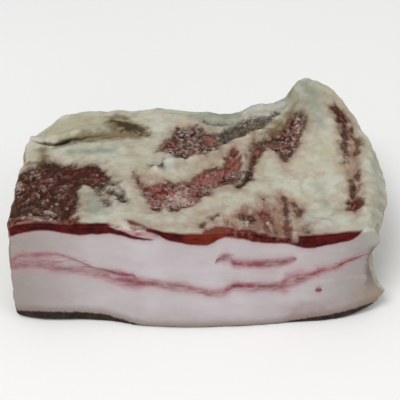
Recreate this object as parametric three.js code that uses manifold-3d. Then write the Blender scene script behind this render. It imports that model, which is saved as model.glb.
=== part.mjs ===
// A slab of cured pork belly that lies on its rind: fat with streaks of lean, cut clean along the front,
// with a rough salted upper side that climbs to a lobe of fat at its right rear corner.
// Millimetres, +Z up. X runs along the slab, the cut face looks towards -Y, and the origin is on the
// table under the middle of the slab's box.
import * as THREE from "three";
import { LoftGeometry } from "three/addons/geometries/LoftGeometry.js";
import { ImprovedNoise } from "three/addons/math/ImprovedNoise.js";
import { mergeVertices } from "three/addons/utils/BufferGeometryUtils.js";
import Module from "manifold-3d";

const { lerp, clamp, smoothstep } = THREE.MathUtils;

// Driving dimensions
const LENGTH = 192;
const DEPTH = 124;
const THICKNESS = 59;
const CUT_EDGE_ROUND = 1.6;
const CURED_EDGE_ROUND = 6;
const LEAN_DEPTH = 1.6;
const SEAM_RISE = 2.4;
const FLAP_RISE = 2.4;
const CREVICE_DEPTH = 1.6;
const LUMP_HEIGHT = 1.2;
const LUMP_SIZE = 11;
const SIDE_SWAY = 2;
const SIDE_SWAY_SIZE = { across: 22, up: 16 };
const GRAIN_COUNT = 84;
const GRAIN_SIZE = 2.4;

// Shares of the length and depth from one grain of salt to the next, and of the range of their sizes: steps
// that never fall into rows.
const GRAIN_STEPS = { along: 0.7548777, back: 0.5698403, size: 0.618034 };

// Rows of faces: along the length, over the upper side, up the cut face and the rear, and under the slab
const ROWS = { length: 48, upper: 34, cut: 6, rear: 5, rind: 2 };

// A smooth line through a few [place, value] pairs, level beyond its ends.
function line(...pairs) {
  const places = pairs.map((pair) => pair[0]);
  const values = pairs.map((pair) => pair[1]);
  const spline = new THREE.CubicInterpolant(places, values, 1);
  return (place) => spline.evaluate(clamp(place, places[0], places.at(-1)))[0];
}

// Plan of the slab: where the cut face and the rear lie along the length, and where the ends lie along
// the depth.
const cutFaceY = line(
  [-96, -54], [-86, -57], [-48, -57.5], [-28, -61.6], [28, -61.6], [52, -59], [80, -56], [96, -50],
);
const rearY = line(
  [-96, 48], [-80, 58], [-55, 61], [-21, 63], [8, 60], [26, 60], [44, 62], [62, 63], [80, 60], [96, 50],
);
const leftEndX = line([-62, -91], [-48, -94], [-20, -95.5], [20, -96], [40, -96.5], [52, -91], [62, -81]);
const rightEndX = line([-62, 86], [-44, 89], [-30, 95], [-6, 98], [20, 95], [38, 90], [50, 84], [62, 78]);

// Heights along the length: the rind's curl off the table beyond its flat middle, and the upper side along
// the cut edge, half way back and along the rear.
const rindCurl = line([-95, 1], [-64, 1], [-38, -1], [50, -1], [64, 0.3], [78, 1.2], [92, 6]);
const cutEdgeZ = line(
  [-95, 57.5], [-80, 62], [-60, 60.5], [-26, 61.5], [-8, 58], [24, 58], [40, 54], [72, 54.5], [90, 53],
);
const middleZ = line([-95, 55], [-60, 59], [-20, 60], [50, 59], [72, 61], [86, 61], [96, 57]);
const rearZ = line(
  [-96, 51], [-86, 51.5], [-76, 55], [-45, 57], [-21, 59.5], [0, 58.5], [22, 58.5], [30, 63], [46, 65.5],
  [50, 68.5], [54, 76.5], [64, 79], [76, 73.5], [90, 61],
);

// Reach past the plan line from the rind up: by the cut face a slight foot at the left end and a flared
// foot, waist and lip at the right end, which is undercut further back, and a rear that leans in at the rind.
const leftFootReach = line([0, -1], [0.5, -1.4], [0.8, 0], [1, 0]);
const rightFootReach = line(
  [0, 3], [0.1, 9], [0.22, 5], [0.42, 1], [0.6, -1], [0.74, -1], [0.86, 2.5], [1, 0],
);
const undercutReach = line([0, -7], [0.3, -6], [0.6, -5], [0.8, -3], [0.92, 0], [1, 0]);
const rearReach = line([0, -5], [0.3, 0], [0.6, 1], [1, 0]);

// What shows on the upper side, in plan: each stroke is a chain of [x, y, half width].
const LEAN_STROKES = [
  [[-88, -4, 6], [-82, -20, 13], [-78, -46, 16]],
  [[-80, 2, 5], [-65, -8, 7], [-54, -11, 7]],
  [[-48, -22, 3], [-38, -36, 2]],
  [[-17, 20, 5], [-9, 30, 9], [0, 22, 10], [12, 26, 6]],
  [[-8, 12, 5], [-9, 2, 2]],
  [[8, 42, 4], [20, 37, 4], [34, 36, 4]],
  [[-32, -12, 2], [-29, -24, 3], [-18, -26, 6], [-4, -23, 7], [7, -10, 8], [16, -7, 8]],
  [[-21, -38, 5], [-10, -36, 6], [0, -27, 4]],
  [[19, 14, 2], [18, -6, 5]],
  [[30, 20, 3], [28, 4, 3], [25, -13, 3], [19, -20, 3]],
  [[36, 20, 5], [46, 20, 8], [54, 31, 4]],
  [[48, 16, 6], [46, 6, 3]],
  [[22, -47, 4], [33, -50, 5], [33, -38, 3]],
  [[43, -26, 2], [42, -57, 3]],
  [[48, -29, 2], [50, -40, 2], [48, -52, 2]],
  [[74, 36, 2], [79, 32, 3], [81, 20, 5], [79, 6, 4], [79, -8, 2], [79, -24, 3], [77, -33, 5]],
];
const SEAM_STROKES = [
  [[-20, -6, 3], [0, 4, 3], [12, 15, 3], [24, 24, 3], [37, 28, 2]],
  [[24, 12, 2], [24, -10, 2]],
  [[45, -30, 1], [45, -54, 1]],
  [[88, 8, 4], [86, -24, 4], [82, -46, 3]],
];

// The flap of fat at the left rear, which ends in a crevice
const creviceY = line([-96, 25], [-74, 26], [-62, 26.5], [-45, 30], [-28, 33]);
const CREVICE = [[-88, 25, 1], [-73, 26, 2], [-62, 26.5, 1], [-45, 30, 1]];

const noise = new ImprovedNoise();

// How far a place in plan lies inside the nearest of some strokes, below zero outside them.
function inside(x, y, strokes) {
  let most = -Infinity;
  for (const stroke of strokes) {
    for (let i = 1; i < stroke.length; i += 1) {
      const start = new THREE.Vector3(...stroke[i - 1]);
      const end = new THREE.Vector3(...stroke[i]);
      const way = end.clone().sub(start).setZ(0);
      const share = clamp(new THREE.Vector3(x, y, 0).sub(start).dot(way) / way.lengthSq(), 0, 1);
      const nearest = start.lerp(end, share);
      most = Math.max(most, nearest.z - Math.hypot(x - nearest.x, y - nearest.y));
    }
  }
  return most;
}

// Height of the lean, seams, flap and lumps over the plain upper side.
function relief(x, y) {
  const lean = -LEAN_DEPTH * smoothstep(inside(x, y, LEAN_STROKES), -2, 2);
  const seam = SEAM_RISE * smoothstep(inside(x, y, SEAM_STROKES), -2.5, 2);
  const flapReach = smoothstep(x, -90, -82) * (1 - smoothstep(x, -52, -28));
  const flap = FLAP_RISE * flapReach * smoothstep(y - creviceY(x), 0, 3);
  const crevice = -CREVICE_DEPTH * smoothstep(inside(x, y, [CREVICE]), -2, 1);
  const lumps = LUMP_HEIGHT * noise.noise(x / LUMP_SIZE, y / LUMP_SIZE, 3.7);
  return lean + seam + flap + crevice + lumps;
}

// Height of the upper side at a place in plan, where back is the share of the way from cut face to rear.
function upperSide(x, y, back) {
  const rails = line([0, cutEdgeZ(x)], [0.5, middleZ(x)], [0.92, rearZ(x)], [1, rearZ(x) - 1]);
  return rails(back) + relief(x, y) * smoothstep(back, 0, 0.06);
}

// The place in the slab of a point of the plain box, given as shares of its length, depth and thickness.
function inSlab(along, back, up) {
  const plainX = lerp(-LENGTH / 2, LENGTH / 2, along);
  const plainY = lerp(cutFaceY(plainX), rearY(plainX), back);
  const leftReach = leftFootReach(up) * (1 - smoothstep(plainY, -40, 0));
  const rightReach = lerp(rightFootReach(up), undercutReach(up), smoothstep(plainY, -52, -28));
  const endReach = leftReach * (1 - smoothstep(along, 0, 0.1)) + rightReach * smoothstep(along, 0.9, 1);
  const x = lerp(leftEndX(plainY), rightEndX(plainY), along) + endReach;
  const y = plainY + rearReach(up) * smoothstep(back, 0.9, 1);
  const z = lerp(Math.max(0, rindCurl(x)), upperSide(x, y, back), up);
  const mid = smoothstep(back, 0.05, 0.3) * smoothstep(up, 0, 0.3) * (1 - smoothstep(up, 0.8, 1));
  const { across, up: upward } = SIDE_SWAY_SIZE;
  return new THREE.Vector3(
    x + SIDE_SWAY * mid * noise.noise(8.3, y / across, z / upward) * Math.abs(2 * along - 1),
    y + SIDE_SWAY * mid * noise.noise(x / across, 5.1, z / upward) * back,
    z,
  );
}

// Pulls a point of the plain box's surface in to the rounds of its edges, crisp along the cut face.
function rounded(point) {
  const radius = lerp(CUT_EDGE_ROUND, CURED_EDGE_ROUND, smoothstep(point.y, 0, DEPTH / 3));
  const reach = new THREE.Vector3(
    radius,
    point.y < DEPTH / 2 ? CUT_EDGE_ROUND : radius,
    point.z < THICKNESS / 2 ? CUT_EDGE_ROUND : radius,
  );
  const far = new THREE.Vector3(LENGTH, DEPTH, THICKNESS).sub(reach);
  const inner = point.clone().clamp(reach, far);
  const out = point.clone().sub(inner);
  const strain = out.clone().divide(reach).length();
  return inner.add(out.divideScalar(Math.max(1, strain)));
}

// Places from 0 to size, even in the middle and drawn together in the rounds at both ends.
function places(size, count, startRound, endRound) {
  const even = Array.from({ length: count + 1 }, (_, i) => lerp(startRound, size - endRound, i / count));
  return [0, 0.4 * startRound, ...even, size - 0.4 * endRound, size];
}

// One loop round the plain box's section: back along the rind, up the rear, forward over the upper side
// and down the cut face.
function sectionLoop() {
  const rind = places(DEPTH, ROWS.rind, CUT_EDGE_ROUND, CURED_EDGE_ROUND).map((y) => [y, 0]);
  const rear = places(THICKNESS, ROWS.rear, CUT_EDGE_ROUND, CURED_EDGE_ROUND).map((z) => [DEPTH, z]);
  const upper = places(DEPTH, ROWS.upper, CUT_EDGE_ROUND, CURED_EDGE_ROUND).map((y) => [y, THICKNESS]);
  const cut = places(THICKNESS, ROWS.cut, CUT_EDGE_ROUND, CUT_EDGE_ROUND).map((z) => [0, z]);
  return [rind, rear, upper.reverse(), cut.reverse()].flatMap((side) => side.slice(0, -1));
}

function slabGeometry() {
  const loop = sectionLoop();
  const endShares = [0, 0.25, 0.5, 0.7, 0.85, 0.95];
  const rings = [
    ...endShares.map((share) => [0, share]),
    ...places(LENGTH, ROWS.length, CURED_EDGE_ROUND, CURED_EDGE_ROUND).map((x) => [x, 1]),
    ...endShares.toReversed().map((share) => [LENGTH, share]),
  ];
  const sections = rings.map(([x, share]) =>
    loop.map(([y, z]) => {
      const boxed = new THREE.Vector3(x, lerp(DEPTH / 2, y, share), lerp(THICKNESS / 2, z, share));
      const place = rounded(boxed);
      return inSlab(place.x / LENGTH, place.y / DEPTH, place.z / THICKNESS);
    }),
  );
  return closed(new LoftGeometry(sections));
}

// A geometry with its shared vertices merged, and without the triangles that this folds to a line.
function closed(geometry) {
  const bare = new THREE.BufferGeometry();
  bare.setAttribute("position", geometry.getAttribute("position"));
  bare.setIndex(geometry.index);
  const merged = mergeVertices(bare, 1e-3);
  const kept = [];
  for (let i = 0; i < merged.index.count; i += 3) {
    const corners = [0, 1, 2].map((k) => merged.index.getX(i + k));
    if (new Set(corners).size === 3) kept.push(...corners);
  }
  return merged.setIndex(kept);
}

// Coarse salt: cubes of uneven size, sunk by half into the lean that they are spread over.
function saltGrains() {
  const grains = [];
  for (let step = 1; grains.length < GRAIN_COUNT; step += 1) {
    const back = lerp(0.04, 0.94, (step * GRAIN_STEPS.back) % 1);
    const place = inSlab((step * GRAIN_STEPS.along) % 1, back, 1);
    if (inside(place.x, place.y, LEAN_STROKES) < 1) continue;
    const size = GRAIN_SIZE * lerp(0.7, 1.1, (step * GRAIN_STEPS.size) % 1);
    const grain = new THREE.BoxGeometry(size, 0.8 * size, 0.9 * size);
    grain.rotateX(step).rotateZ(2 * step).translate(place.x, place.y, place.z + 0.15 * size);
    grains.push(closed(grain));
  }
  return grains;
}

const wasm = await Module();
wasm.setup();

function solid(geometry) {
  const vertProperties = Float32Array.from(geometry.getAttribute("position").array);
  const triVerts = Uint32Array.from(geometry.index.array);
  return new wasm.Manifold(new wasm.Mesh({ numProp: 3, vertProperties, triVerts }));
}

// One body of the slab and its grains, as a geometry.
function fused(slab, grains) {
  const body = grains.reduce((whole, grain) => whole.add(solid(grain)), solid(slab)).getMesh();
  const geometry = new THREE.BufferGeometry();
  geometry.setAttribute("position", new THREE.BufferAttribute(body.vertProperties, body.numProp));
  geometry.setIndex(new THREE.BufferAttribute(body.triVerts, 1));
  return geometry;
}

const geometry = fused(slabGeometry(), saltGrains());
geometry.computeBoundingBox();
const { min, max } = geometry.boundingBox;
geometry.translate(-(min.x + max.x) / 2, -(min.y + max.y) / 2, -min.z);
geometry.computeVertexNormals();

const curedPork = new THREE.MeshStandardMaterial({ color: 0xd3c5bd, roughness: 0.55, metalness: 0 });
const slab = new THREE.Mesh(geometry, curedPork);
slab.name = "pork_belly_slab";

const part = new THREE.Group();
part.add(slab);
export default part;
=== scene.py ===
"""A slab of cured pork belly that lies on its rind, salted on top and cut clean along the front."""
import bpy
import numpy as np
from mathutils import Euler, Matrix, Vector, noise


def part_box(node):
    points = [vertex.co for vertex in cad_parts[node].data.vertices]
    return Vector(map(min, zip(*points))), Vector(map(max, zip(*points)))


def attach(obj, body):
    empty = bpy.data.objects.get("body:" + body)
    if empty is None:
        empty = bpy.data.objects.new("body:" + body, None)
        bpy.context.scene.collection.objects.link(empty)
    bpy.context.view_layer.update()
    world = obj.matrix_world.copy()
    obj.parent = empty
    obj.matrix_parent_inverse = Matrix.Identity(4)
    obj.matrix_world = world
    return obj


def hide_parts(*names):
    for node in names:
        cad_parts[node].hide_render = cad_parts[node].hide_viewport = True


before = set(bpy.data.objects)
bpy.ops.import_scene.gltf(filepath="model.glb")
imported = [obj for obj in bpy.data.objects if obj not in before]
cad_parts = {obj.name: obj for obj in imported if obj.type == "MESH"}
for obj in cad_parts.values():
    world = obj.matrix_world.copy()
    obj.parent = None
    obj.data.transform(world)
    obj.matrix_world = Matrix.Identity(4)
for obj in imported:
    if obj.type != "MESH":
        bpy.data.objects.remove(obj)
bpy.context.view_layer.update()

# Sizes and places are in millimetres unless a name says otherwise; Blender works in metres.
MM = 0.001
NODE = "pork_belly_slab"
LEAST, MOST = (np.array(corner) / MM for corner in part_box(NODE))

# Camera of the photograph
CAMERA_TARGET = (1.0, 11.5, 27.5)
CAMERA_DISTANCE = 570
CAMERA_ELEVATION = 35
CAMERA_LENS = 92.7
CAMERA_SENSOR = 36

# Studio: each lamp has its place, its width and its watts
FLOOR_WIDTH = 24000
SKY_STRENGTH = 0.5
LAMP_AIM = (0, 0, 30)
LAMPS = {
    "key": ((-1000, -1700, 2600), 1300, 60),
    "fill": ((2000, -1200, 1600), 2000, 12),
}

# Mesh: width of its cells, and rounds of smoothing that take off its grains, its lumps and its swells
VOXEL = 1.05
MERGE = 0.01
GRAIN_ROUNDS = 14
# The lumps and swells these rounds take off set where the finish paints shade in hollows and highlight on
# rises
LUMP_ROUNDS = 16
SWELL_ROUNDS = 120
# Relief: how high lumps of each size stand on the fat, the lean and the cut face
FAT_LUMPS = {14: 2.4, 6: 1.3, 2.6: 0.5}
LEAN_LUMPS = {6: 1.6, 3.2: 1.6}
CUT_LUMPS = {11: 0.35}
LEAN_SINK = 0.7
# How far inside its strokes each kind of low relief starts and is full, and how far it rises
LOW_RELIEF = {
    "ridge": (-1.5, 1, 1.2),
    "white": (-1.5, 2, 0.9),
    "flap": (-2, 1.5, 0.6),
    "crevice": (-0.9, 0.5, -0.5),
}
# How far the edges of patches and films stray, and the size of their bays
RAGGED = 1.4
RAGGED_SIZE = 5
# Heights and places to the front at which the upper side and the cut face begin and are full
UPPER_Z = (38, 46)
CUT_FRONT = (38, 44)
# Small moves that sharpen the outline: middle, reach, direction and amount
NUDGES = [
    ((-91, 35, 54), 7, "X", -0.6),
    ((-91, 35, 54), 7, "Z", 2.4),
    ((-92, 39, 52), 5, "X", -2.6),
    ((-92, 39, 52), 5, "Z", 1.2),
    ((-85, 45, 53), 5, "Z", -1),
    ((-75, 50, 57), 8, "Z", 1.5),
    ((-94, 14, 55), 10, "X", 1),
    ((89, -50, 46), 5, "X", 2),
    ((91, -47, 53), 7, "X", -2.8),
    ((86, -52, 33), 8, "X", -0.8),
    ((92, -50, 14), 5, "X", 2.6),
]

# Patches of lean on the upper side: tone from brown, 0, to red, 1, lightness, share of salt, and outline
# in plan
LEAN_PATCHES = {
    "left": (0.4, 0.16, 0.05, [
        (-100, 1), (-92, 1), (-86, 4), (-82, 9), (-76, 5), (-69, 1), (-62, 0), (-52, -1), (-48, -9),
        (-44, -15), (-47, -23), (-54, -23), (-58, -21), (-60, -25), (-60, -36), (-59.5, -45), (-64, -52),
        (-76, -49), (-100, -45),
    ]),
    "left front": (0.9, 0.35, 0.03, [
        (-100, -45), (-76, -49), (-66, -48), (-58, -49), (-57, -63), (-100, -63),
    ]),
    "upper": (0.2, 0.48, 0.5, [
        (-22, 11), (-19, 22), (-15, 28), (-11, 36), (-7, 35), (-2, 38), (3, 33), (7, 34), (11, 30), (15, 23),
        (12, 21), (12, 13), (9, 7), (5, 3.5), (1, 2.5), (-3, 2.5), (-9, -2), (-12, 7), (-17, 10),
    ]),
    "middle": (0.8, 0.45, 0.35, [
        (-33, -9), (-28, -22), (-23, -22), (-15, -18), (-8, -17), (-3, -14.5), (0, -9), (7, -4), (12, -1),
        (15.5, 2), (17, 9), (18.5, 17), (21, 13), (22, 4), (23.5, -10), (19, -20), (12, -19), (8, -22),
        (7, -28), (1, -32), (-10, -40), (-13, -44), (-17, -39), (-19, -45), (-23, -44), (-26, -34),
        (-30, -23),
    ]),
    "stripe": (0.5, 0.45, 0.1, [
        (30, 21), (28, 12), (25.5, -7), (23.5, -14), (18, -20), (21, -22), (26, -17), (29, -12), (29, -1),
        (32, 6), (36, 12), (36, 21),
    ]),
    "lobe side": (0.4, 0.45, 0.3, [
        (35, 23), (44, 28), (49, 35), (55, 34), (59, 28), (55.5, 19), (51.5, 12), (50, 8), (46, 5),
        (43, 10), (38, 14), (35, 17),
    ]),
    "front red": (1.0, 0.6, 0.1, [
        (29.5, -41), (31.5, -38.5), (35, -38), (36.5, -41), (36.5, -48), (32, -49), (30, -46),
    ]),
    "front brown": (0.3, 0.4, 0.15, [(19, -45), (22, -42.5), (28, -42.5), (29, -46), (27, -49), (21, -49)]),
    "right top": (0.5, 0.2, 0.05, [(73, 36), (76, 40), (80, 38), (82, 32), (81, 26), (76, 28)]),
    "right foot": (0.9, 0.15, 0.05, [
        (75, -33), (77, -28), (80, -27), (84, -31), (82, -37), (78, -39), (74, -36),
    ]),
}
# Thinner lean there: tone, lightness, share of salt, and strokes as chains of (x, y, half width)
LEAN_STROKES = {
    "peak spine": (0.9, 0.8, 0.0, [[(19.5, 12, 1.6), (19, 6, 2.6), (18, 0, 3)], [(17, 9, 1.4), (15, 4, 2)]]),
    "front stripes": (0.4, 0.45, 0.05, [
        [(43.5, -27, 0.3), (44, -31, 1), (44, -36, 1), (44, -44, 0.8), (43.5, -48, 1)],
        [(49, -30.5, 0.2), (49.6, -32, 0.8), (50.4, -34, 1.2), (50.8, -37, 1.6), (51, -41, 0.6)],
        [(38.5, -53, 0.8), (39, -61, 1.2)],
        [(53, -50, 0.8), (54, -54, 1.6)],
    ]),
    "front foot": (1.0, 0.5, 0.05, [
        [(43.5, -47, 1), (43.5, -54, 2.2), (43.5, -60, 2.2)],
        [(33.5, -51, 0.8), (34, -57, 1.2)],
    ]),
    "specks": (0.1, 0.3, 0.1, [
        [(7, -47, 1.4), (9, -46, 1)],
        [(2, -54, 1.4), (3, -53, 1)],
        [(33, -30, 0.1), (35, -31, 0.2)],
    ]),
    "right edge": (0.3, 0.42, 0.1, [
        [(79, 29, 1.6), (79.5, 18, 2.4), (78, 11, 2.4)],
        [(77.5, 5, 1), (77, 0, 1)],
    ]),
    "right lines": (0.4, 0.65, 0.1, [
        [(84, 28, 0.8), (83.5, 20, 0.8)],
        [(79, -16, 0.8), (80, -20, 1.4), (78.5, -28, 1.8)],
        [(86, 20, 0.8), (84.5, 5, 0.8)],
        [(82.5, -10, 0.6), (82.5, -23, 0.8)],
    ]),
}
# Fat near the front and along the right that strands of lean run through, in plan
WASHES = [
    [(8, -49), (13, -44), (20, -39), (28, -36), (33, -31), (42, -22), (49, -28), (52, -38), (51, -50),
     (49, -65), (9, -65)],
    [(74, 38), (78, 40), (84, 36), (86, 19), (83, -5), (82, -27), (81, -40), (76, -41), (75, -34),
     (78, -20), (79, -4), (77, 5), (77, 15), (76, 28)],
]
# Where the lean differs from the rest of its patch: tone, lightness, share of salt, and strokes
LEAN_ACCENTS = {
    "left arm": (0.7, 0.15, 0.03, [[(-65, -5, 4), (-54, -11, 6), (-50, -18, 4)]]),
    "left column": (0.65, 0.4, 0.25, [
        [(-69, -21, 3), (-67.5, -30, 2.5)],
        [(-78, -33, 2), (-78, -37, 1.5)],
        [(-84, -3, 1.5), (-80, -17, 1.5)],
    ]),
    "left olive": (0.2, 0.25, 0.08, [
        [(-85, -37, 5), (-77, -42, 4)],
        [(-89, -3, 3), (-91, -15, 3)],
        [(-82, 7, 3), (-69, 1, 2)],
    ]),
    "left salted": (0.1, 0.6, 0.9, [
        [(-94, -11, 1.5), (-92, -16, 1.5)],
        [(-88, 2, 1), (-86, -1, 1)],
        [(-74, -45.5, 1.6), (-71, -45.5, 1.8)],
    ]),
    "upper reds": (0.9, 0.6, 0.1, [[(-19, 15, 3), (-13, 21, 3)], [(4, 18, 3), (9, 28, 3)]]),
    "upper light": (0.5, 0.9, 0.9, [[(-2, 20, 1), (-1, 14, 1)], [(0, 31, 1), (1, 28, 1)]]),
    "upper dark": (0.0, 0.15, 0.5, [[(-11, 32, 4), (-6, 31, 3)]]),
    "middle salted": (0.85, 0.85, 1.2, [
        [(-24, -29, 1), (-23, -37, 2.5), (-12, -32, 4), (-3, -32, 3)],
        [(-8, -19.5, 1.2), (-6, -29, 3)],
        [(18, -4, 1.4), (20, -12, 1.4)],
    ]),
    "middle red": (1.0, 0.65, 0.1, [[(-24, -22, 3), (-20, -24, 3)], [(0, -15, 3), (8, -10, 3)]]),
    "peak": (0.95, 0.9, 0.0, [[(20, 13, 3), (19, -1, 4), (14, -6, 3)]]),
    "stripe top": (0.7, 0.6, 0.1, [[(31, 17, 3), (30, 10, 2)]]),
    "stripe foot": (0.1, 0.1, 0.2, [[(27, -8, 2), (22, -19, 3)]]),
    "lobe brown": (0.7, 0.5, 0.05, [[(42, 26, 2), (48, 32, 3)]]),
    "lobe dark": (0.0, 0.15, 0.3, [[(55, 32, 2.5), (57, 29, 1.5)]]),
    "lobe salted": (0.45, 0.95, 0.9, [[(54, 28, 1.6), (54.4, 22.5, 1.2)], [(46, 9, 2), (46, 6, 2)]]),
}
# Red of the newly cut edge where it turns onto the upper side
RED_EDGE = [
    [(-93, -56, 1), (-84, -57, 2), (-77, -56, 3), (-69, -58, 2), (-57, -59.5, -0.4), (-50, -59, -0.2),
     (-46, -58.5, 1), (-43, -58, 1.4), (-37, -60, 0)],
    [(-31, -61.5, 0.6), (-24, -62, 0.6)],
    [(-34, -55.5, 0.8), (-29, -58, 1.2), (-25, -60, 1.2), (-21, -61.5, 0.8), (-16, -62.5, 1.3),
     (-7, -63.5, 0.9), (-1, -64, 0.9), (3, -63, 2.6), (8, -60.5, 5), (13, -60.5, 4.6), (20, -61, 3.8),
     (28, -61, 4), (35, -60, 3), (42, -60, 2.4), (46.5, -62, 0.6), (54, -59, 2.8), (64, -58.5, 2.2),
     (75, -56.5, 1.4)],
]
# Grey, salted lean and brown stains on the fat, and painted shade under the flap
GREY_STROKES = [
    [(-50, -23, 1.6), (-43, -28, 2.6), (-39, -32, 2.2), (-36, -37, 1.6)],
    [(-46, -34, 1.6), (-45, -40, 1.2)],
    [(-49, -19, 1.6), (-45, -20, 2), (-40, -20, 0.6)],
    [(-50, -23, 1.6), (-48, -29, 2)],
    [(0, 42, 0.4), (5, 43, 0.6), (9, 44, 0.8), (18, 43, 0.8)],
    [(-40, -25, 0.6), (-38, -27, 0.6)],
    [(-24, -2, 1.2), (-20, -7, 1.6)],
    [(-8, 7, 2), (-7, -1, 1.6)],
]
GREY_PATCH = [
    (13, 37), (11, 32), (10, 25), (14, 17), (19, 24), (24, 23.5), (29, 26.5), (34, 31), (40, 37), (47, 44),
    (44, 45), (38, 40.5), (33, 41.5), (28, 44), (20, 41), (14, 39),
]
STAIN = [
    [(-48, 42, 1), (-44, 40, 3.6), (-41, 38.5, 6), (-37, 36, 6), (-32, 33.5, 4.2), (-28, 31, 2.2)],
    [(24, 30, 3), (29, 29.5, 4.5), (35, 32, 3)],
    [(-45, 34, 1.5), (-41, 32, 1.5)],
]
# Amber stains, and along the flap's lip above the crevice, painted shade under the flap
AMBER_STAIN_AND_FLAP_SHADE = [
    [(-49, 47, 1.5), (-48, 41, 3.5), (-46, 33, 4)],
    [(-46, 49, 2), (-42, 46, 3)],
    [(-77, 24.5, 1.2), (-72, 23.6, 3), (-62, 26.5, 3), (-54, 28, 3.6), (-48, 28, 4.2), (-40, 29, 3.6),
     (-34, 28, 2)],
    [(-86, 23, 2), (-83, 11, 2)],
    [(-91, 6, 1.5), (-86, 5, 1)],
    [(50, 38, 2.5), (43, 31, 2.5), (38, 26, 1.5), (34, 24, 1)],
    [(87.5, 21, 0.4), (87, 10, 0)],
]
# Fat that thin lean shows through, and fat that has yellowed
BLUSH = [
    [(35, 13, 3), (45, 5, 4), (46, -9, 2)],
    [(79, -7, 3), (80, -25, 3)],
    [(-45, -31, 6), (-37, -37, 4)],
    [(-29, -13, 3), (-19, -16, 3)],
    [(11, -23, 4), (23, -25, 3)],
    [(-29, -57, 3), (1, -53, 4)],
    [(1, -45, 4), (12, -37, 3)],
    [(3, 1, 2), (12, 8, 2.5), (23, 20, 3), (36, 29, 2.5)],
    [(24, 13, 2), (23.5, -8, 2)],
    [(57, 16, 1), (59, 10, 2)],
    [(52, 9, 1), (54, 5, 1)],
    [(46.7, -40, 0.6), (47.2, -58, 0.6)],
    [(32, -33.5, 1), (34.5, -33.5, 1)],
    [(60, -53, 1), (66, -53, 1)],
    [(-92, -46, 1), (-79, -51, 2), (-69, -53, 2), (-62, -51, 2)],
]
YELLOW_FAT = [
    [(-77, 39, 10), (-59, 41, 10)],
    [(-35, 13, 3), (-29, -5, 2)],
    [(-50, 21, 2), (-32, 21, 3)],
    [(-82, 30, 4), (-60, 32, 4)],
    [(66, 14, 2), (67, 4, 2)],
    [(61, 43, 8), (67, 51, 10)],
]
# Crevice at the left, which the finish paints dark as shade, and the flap of fat that hangs over it
CREVICE = [
    [(-92, 33, 0.1), (-89, 31, 0.4), (-84, 27, 0.65), (-79, 25.4, 0.7), (-75, 25.6, 1.2), (-72, 26, 1.4),
     (-69, 26.4, 0.7), (-64, 26, 0.4), (-57, 28, 0.1), (-50, 30, -0.2)],
]
FLAP = [[(-84, 30, 1.5), (-73, 30, 2), (-60, 30, 2), (-50, 35, 1.5)]]
# Folds of fat between the patches of lean, and those of them that stand highest
SEAMS = [
    [(-22, -8, 2.5), (0, -1, 1.4), (6, 2.5, 1.4), (12, 8.5, 2), (17, 15.5, 1.8), (24, 20.5, 1.6),
     (30, 23.5, 1), (36, 27.5, 0.4)],
    [(26, 13, 0.8), (24.5, 5, 0.9), (22.8, -4, 0.6), (23, -10, -0.2)],
    [(46.5, -38, 0.2), (47, -48, 0.7), (47.2, -58, 0.5)],
    [(-75, -45, 0.3), (-72, -45.5, 0.6)],
    [(-92, -46, 0), (-79, -51, 0.2), (-69, -53, 0.2)],
]
RIDGES = [[(-22, -8, 2.5), (0, 1.5, 2), (11, 8.5, 1)], [(47, -43, 1), (47, -57, 1)]]
# Thin grey films of salt on the fat, and white cakes of it
SALT_FILM = [
    [(-57, -31, 5), (-50, -40, 8)],
    [(-15, 3, 3), (-15, -5, 3)],
    [(55, -46, 4), (63, -50, 4)],
    [(-69, 15, 2), (-47, 13, 3)],
    [(94, 8, 0), (92, -15, 0), (92, -30, 3), (91, -41, 5)],
    [(61, 29, 8), (61, 42, 6), (59, 55, 4)],
    [(62, -16, 0), (64, -34, 1)],
    [(80, -50, 2), (86, -50, 4)],
    [(50.5, -43, 0), (51, -54, 0)],
    [(2, 45, 4), (10, 46, 5), (20, 45, 3)],
    [(-2, 51, 3), (11, 53, 6), (29, 53, 6), (47, 52, 6)],
]
WHITE_FILM = [
    [(-16, 5, 2.2), (-14, -4, 2.2)],
    [(54, -46, 4), (63, -50, 4)],
    [(-44, -35, 2.5), (-42, -39, 2)],
    [(27, 51, 3), (45, 51, 4)],
]
# Salt: how far the solid's own grains stand proud and apart, how many loose grains there are of each kind,
# their widths, how much a crystal is worn, how far its middle stands out and how unlike the grains are
GRAIN_PROUD = 0.45
GRAIN_APART = 2.4
COARSE_COUNT = 90
FINE_COUNT = 260
GRAIN_WIDTHS = (1.2, 1.8)
CLUMP_WIDTHS = (1.4, 2.1)
COARSE_LEAST, COARSE_SPREAD = 0.6, 0.7
FINE_LEAST, FINE_SPREAD = 0.3, 0.3
CRYSTAL_WEAR = 0.16
GRAIN_LIFT = 0.17
GRAIN_TURN = 6.3
GRAIN_SIDES = (0.7, 1.15)
GRAIN_STAIN = (-0.4, 0.2)
CLUMP_REACH = 0.6
CLUMP_SHARES = (0.35, 0.75)
SALT_SEED, COARSE_SEED, FINE_SEED = 7, 11, 13
# Clumps of the coarsest salt, in plan
SALT_CLUMPS = [
    (-84, -3), (-78, -22), (-90, -18), (-70, -29), (-68, -20), (-65, -40), (-73, -46), (-70, -47),
    (-82, -46), (-75, -34), (-84, -16), (-88, -6), (-44, -25), (-42, -34), (23.7, -50.5), (18, -8),
    (21, -10), (-18, 2), (-15, -34), (-8, -28), (-11, -23), (-4, -31), (-21, -37), (-1, 30), (-5, 31),
    (55, 23), (9, -10),
]

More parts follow.
